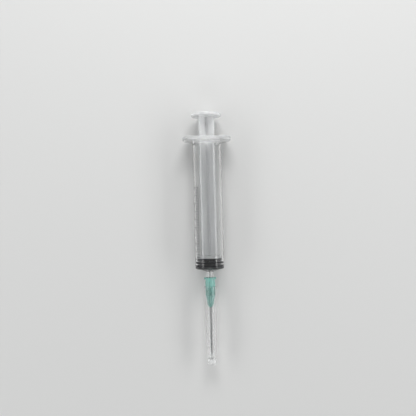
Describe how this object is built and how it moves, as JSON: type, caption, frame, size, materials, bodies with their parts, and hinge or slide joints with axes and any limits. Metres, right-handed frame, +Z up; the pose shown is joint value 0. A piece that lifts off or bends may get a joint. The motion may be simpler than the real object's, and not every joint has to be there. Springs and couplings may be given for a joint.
{
  "type": "disposable syringe",
  "caption": "Clear barrel with finger flange and plunger pushed home, black rubber seal, and a capped hypodermic needle in a green hub on the slip nozzle.",
  "frame": {"origin": "centre of the overall box's base: halfway between the thumb rest's rear face and the cap's tip, below the axis, on the surface that the flange's flat edge lies on", "axes": "+X along the syringe's axis towards the needle, +Y across the flange's wings, +Z up"},
  "size_m": [0.1588, 0.0308, 0.0196],
  "materials": {
    "clear_polypropylene": "clear, slightly hazy moulded polypropylene",
    "black_ink": "printed ink",
    "rod_polypropylene": "milky translucent moulded polypropylene",
    "black_rubber": "smooth, lubricated",
    "green_polypropylene": "tinted translucent moulding",
    "clear_resin": "set resin",
    "stainless_steel": "drawn and polished",
    "cap_polypropylene": "clear, slightly hazy moulded polypropylene"
  },
  "bodies": {
    "barrel": {"barrel": "clear_polypropylene", "scale_print": "black_ink"},
    "seal": {"plunger_seal": "black_rubber"},
    "rod": {"plunger_rod": "rod_polypropylene"},
    "needle": {"needle_hub": "green_polypropylene", "hub_adhesive": "clear_resin", "needle_tube": "stainless_steel"},
    "cap": {"needle_cap": "cap_polypropylene"}
  },
  "joints": [
    {"name": "plunger_slide", "type": "slide", "parent": "barrel", "child": "seal", "axis": [-1, 0, 0], "range_m": [0, 0.0695]},
    {"name": "rod_turn", "type": "hinge", "parent": "seal", "child": "rod", "pos_m": [0.0125, 0, 0.0098], "axis": [1, 0, 0], "continuous": true},
    {"name": "needle_pull", "type": "slide", "parent": "barrel", "child": "needle", "axis": [1, 0, 0], "range_m": [0, 0.012]},
    {"name": "cap_pull", "type": "slide", "parent": "needle", "child": "cap", "axis": [1, 0, 0], "range_m": [0, 0.06]}
  ]
}
